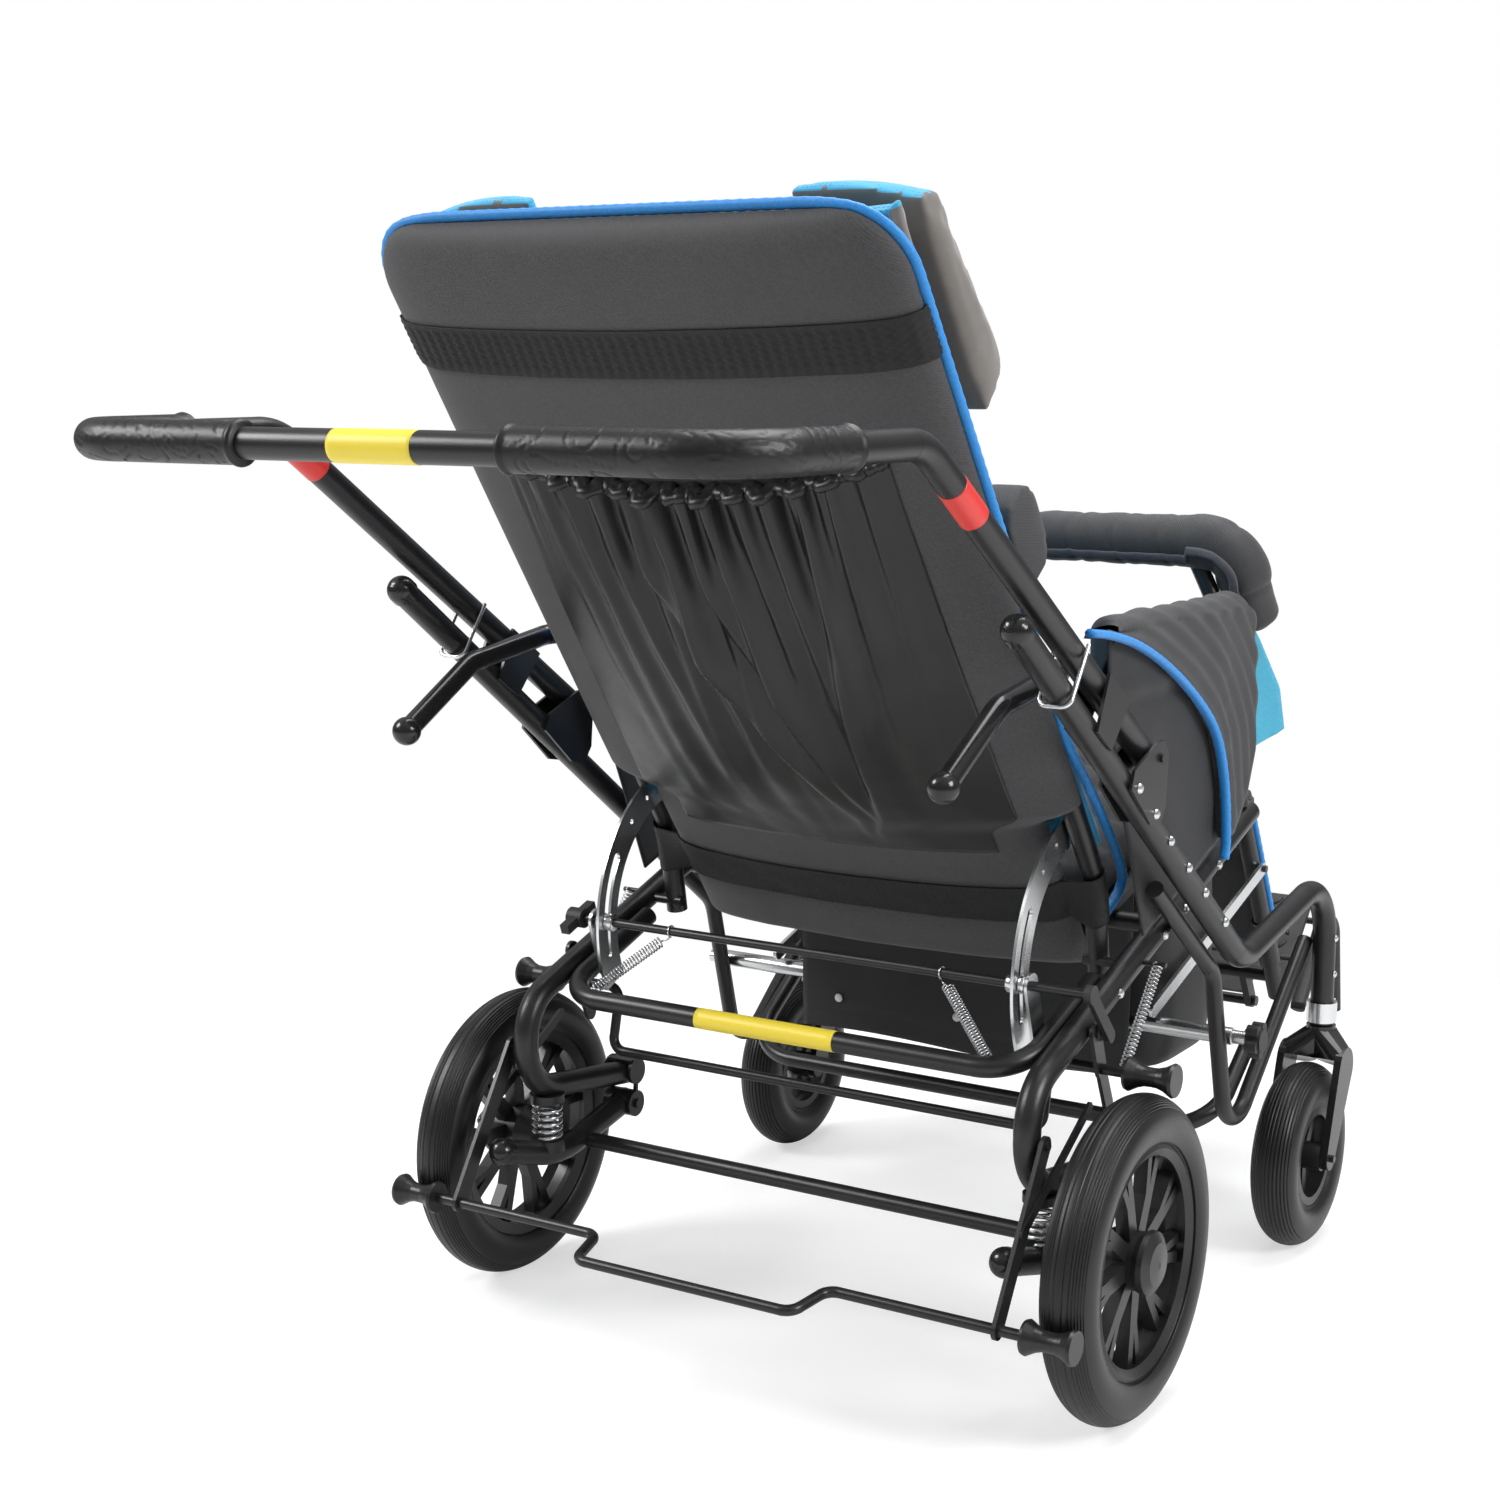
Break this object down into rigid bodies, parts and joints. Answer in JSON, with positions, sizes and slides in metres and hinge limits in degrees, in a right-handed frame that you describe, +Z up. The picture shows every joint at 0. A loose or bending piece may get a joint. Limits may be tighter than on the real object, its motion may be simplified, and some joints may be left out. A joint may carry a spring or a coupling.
{
  "type": "special needs buggy",
  "caption": "Reclining special needs buggy with spring rear axle, swivelling castors, folding push handle, padded bumper bar, raised legrest and a pocketed charcoal backrest.",
  "frame": {"origin": "on the floor under the middle of the bounding box", "axes": "+Y forward, +X rider's right, +Z up"},
  "size_m": [0.758, 1.505, 1.0968],
  "materials": {
    "satin_black_tube": "satin black powder coat",
    "plated_steel": "zinc plated",
    "spring_steel": "bright spring wire",
    "gloss_black_plastic": "glossy moulded plastic",
    "black_plastic": "fine grained moulded plastic",
    "wheel_plastic": "satin moulded plastic",
    "black_tyre": "matt rubber",
    "black_grip": "soft ribbed sleeve",
    "charcoal_twill": "woven twill",
    "black_webbing": "woven webbing",
    "suede_cloth": "napped cloth",
    "sky_blue_mesh": "knitted lining"
  },
  "bodies": {
    "chassis": {"side_frame_r": "satin_black_tube", "side_frame_l": "satin_black_tube", "front_hoops": "satin_black_tube", "seat_rail_r": "satin_black_tube", "seat_rail_l": "satin_black_tube", "seat_frame": "satin_black_tube", "recline_bar": "satin_black_tube", "rod_links": "plated_steel", "lock_rod": "satin_black_tube", "recline_springs": "spring_steel", "frame_caps": "gloss_black_plastic", "frame_brackets": "satin_black_tube", "frame_rivets": "plated_steel", "castor_collars": "plated_steel", "leg_shaft": "plated_steel", "seat_board": "black_plastic", "seat_cushion": "charcoal_twill", "side_panel_r": "charcoal_twill", "side_panel_l": "charcoal_twill", "bumper_tube": "satin_black_tube", "bumper_pad": "charcoal_twill", "bumper_flap": "sky_blue_mesh", "arm_pads": "charcoal_twill", "basket": "black_webbing", "brake_springs": "spring_steel"},
    "push_handle": {"push_handle": "satin_black_tube", "handle_grips": "black_grip", "handle_saddles": "satin_black_tube"},
    "lock_clip_r": {"lock_clip_r": "plated_steel"},
    "lock_clip_l": {"lock_clip_l": "plated_steel"},
    "backrest": {"back_frame": "satin_black_tube", "back_panel": "charcoal_twill", "back_cushion": "charcoal_twill", "back_pocket": "charcoal_twill", "back_straps": "black_webbing", "head_supports": "suede_cloth", "back_handles": "gloss_black_plastic", "quadrants": "plated_steel"},
    "star_knob": {"star_knob": "black_plastic"},
    "wing_knob": {"wing_knob": "black_plastic"},
    "recline_lever": {"recline_lever": "black_plastic"},
    "rear_axle": {"rear_axle": "satin_black_tube", "arm_caps": "gloss_black_plastic", "suspension_springs": "spring_steel"},
    "rear_wheel_r": {"rear_tyre_r": "black_tyre", "rear_rim_r": "wheel_plastic"},
    "rear_wheel_l": {"rear_tyre_l": "black_tyre", "rear_rim_l": "wheel_plastic"},
    "castor_fork_r": {"castor_fork_r": "wheel_plastic"},
    "castor_fork_l": {"castor_fork_l": "wheel_plastic"},
    "castor_wheel_r": {"castor_tyre_r": "black_tyre", "castor_rim_r": "wheel_plastic"},
    "castor_wheel_l": {"castor_tyre_l": "black_tyre", "castor_rim_l": "wheel_plastic"},
    "foot_brake": {"foot_brake": "satin_black_tube"},
    "tyre_brake": {"tyre_brake": "satin_black_tube"},
    "legrest": {"legrest": "satin_black_tube", "leg_pad": "charcoal_twill"},
    "leg_struts": {"leg_struts": "plated_steel"},
    "footplate": {"footplate": "black_plastic"}
  },
  "joints": [
    {"name": "push_fold", "type": "hinge", "parent": "chassis", "child": "push_handle", "pos_m": [0, -0.062, 0.598], "axis": [1, 0, 0], "range_deg": [-125, 0]},
    {"name": "clip_slide_r", "type": "slide", "parent": "chassis", "child": "lock_clip_r", "axis": [0, -0.809, 0.5878], "range_m": [0, 0.03]},
    {"name": "clip_slide_l", "type": "slide", "parent": "chassis", "child": "lock_clip_l", "axis": [0, -0.809, 0.5878], "range_m": [0, 0.03]},
    {"name": "backrest_recline", "type": "hinge", "parent": "chassis", "child": "backrest", "pos_m": [0, 0.014, 0.38285], "axis": [1, 0, 0], "range_deg": [-12, 25]},
    {"name": "star_knob_turn", "type": "hinge", "parent": "chassis", "child": "star_knob", "pos_m": [0.33, 0.2143, 0.2706], "axis": [1, 0, 0], "continuous": true},
    {"name": "wing_knob_turn", "type": "hinge", "parent": "chassis", "child": "wing_knob", "pos_m": [-0.268, -0.12591, 0.38774], "axis": [1, 0, 0], "continuous": true},
    {"name": "recline_lever_lift", "type": "hinge", "parent": "chassis", "child": "recline_lever", "pos_m": [0.303, -0.12591, 0.38774], "axis": [1, 0, 0], "range_deg": [0, 15]},
    {"name": "rear_suspension", "type": "hinge", "parent": "chassis", "child": "rear_axle", "pos_m": [0, -0.031, 0.167], "axis": [1, 0, 0], "range_deg": [-2.5, 2.5], "stiffness_Nm_per_rad": 900, "springref_deg": -0.79, "deforming": ["suspension_springs"]},
    {"name": "rear_wheel_roll_r", "type": "hinge", "parent": "rear_axle", "child": "rear_wheel_r", "pos_m": [0.347, -0.128, 0.15], "axis": [1, 0, 0], "continuous": true},
    {"name": "castor_swivel_r", "type": "hinge", "parent": "chassis", "child": "castor_fork_r", "pos_m": [0.322, 0.449, 0.232], "axis": [0, 0, 1], "continuous": true},
    {"name": "castor_roll_r", "type": "hinge", "parent": "castor_fork_r", "child": "castor_wheel_r", "pos_m": [0.322, 0.392, 0.1], "axis": [1, 0, 0], "continuous": true},
    {"name": "rear_wheel_roll_l", "type": "hinge", "parent": "rear_axle", "child": "rear_wheel_l", "pos_m": [-0.347, -0.128, 0.15], "axis": [1, 0, 0], "continuous": true},
    {"name": "castor_swivel_l", "type": "hinge", "parent": "chassis", "child": "castor_fork_l", "pos_m": [-0.322, 0.449, 0.232], "axis": [0, 0, 1], "continuous": true},
    {"name": "castor_roll_l", "type": "hinge", "parent": "castor_fork_l", "child": "castor_wheel_l", "pos_m": [-0.322, 0.392, 0.1], "axis": [1, 0, 0], "continuous": true},
    {"name": "foot_brake_press", "type": "hinge", "parent": "chassis", "child": "foot_brake", "pos_m": [0, -0.2, 0.266], "axis": [1, 0, 0], "range_deg": [-12, 0]},
    {"name": "tyre_brake_swing", "type": "hinge", "parent": "chassis", "child": "tyre_brake", "pos_m": [0, -0.098, 0.34472], "axis": [1, 0, 0], "range_deg": [0, 12]},
    {"name": "legrest_raise", "type": "hinge", "parent": "chassis", "child": "legrest", "pos_m": [0, 0.457, 0.47], "axis": [1, 0, 0], "range_deg": [-8, 30]},
    {"name": "strut_follow", "type": "hinge", "parent": "legrest", "child": "leg_struts", "pos_m": [0, 0.50521, 0.38583], "axis": [1, 0, 0], "range_deg": [-30, 8]},
    {"name": "footplate_flip", "type": "hinge", "parent": "legrest", "child": "footplate", "pos_m": [0, 0.61007, 0.20273], "axis": [1, 0, 0], "range_deg": [0, 50]}
  ],
  "couplings": [
    {"joint": "tyre_brake_swing", "follows": "foot_brake_press", "ratio": -1},
    {"joint": "strut_follow", "follows": "legrest_raise", "ratio": -1}
  ]
}
